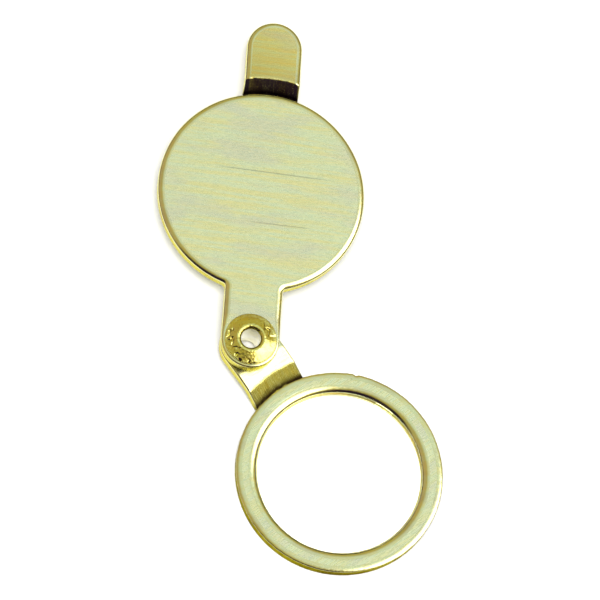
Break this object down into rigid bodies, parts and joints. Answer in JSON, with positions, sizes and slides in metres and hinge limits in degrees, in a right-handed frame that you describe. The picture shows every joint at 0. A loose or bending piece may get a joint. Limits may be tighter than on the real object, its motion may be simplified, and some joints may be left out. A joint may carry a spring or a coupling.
{
  "type": "hand lens",
  "caption": "Folding brass hand lens: a round cover plate with a thumb tab and a lens ring that swivels on a hollow rivet.",
  "frame": {"origin": "on the pivot axis, halfway through the friction washer between the cover plate and the lens holder's arm", "axes": "+Z along the pivot axis, out of the cover's front face; +Y from the pivot to the centre of the cover's disc; the open lens ring lies towards +X and -Y"},
  "size_m": [0.0378, 0.0679, 0.0064],
  "materials": {
    "sheet_brass": "brushed",
    "rivet_brass": "satin",
    "washer_brass": "satin",
    "spring_brass": "satin",
    "lens_glass": "polished"
  },
  "bodies": {
    "cover": {"cover_plate": "sheet_brass", "pivot_rivet": "rivet_brass", "pivot_friction_washer": "washer_brass", "pivot_back_washer": "washer_brass"},
    "lens_arm": {"lens_holder": "sheet_brass", "lens": "lens_glass", "lens_snap_ring": "spring_brass"}
  },
  "joints": [
    {"name": "pivot", "type": "hinge", "parent": "cover", "child": "lens_arm", "pos_m": [0, 0, 0], "axis": [0, 0, 1], "continuous": true}
  ]
}
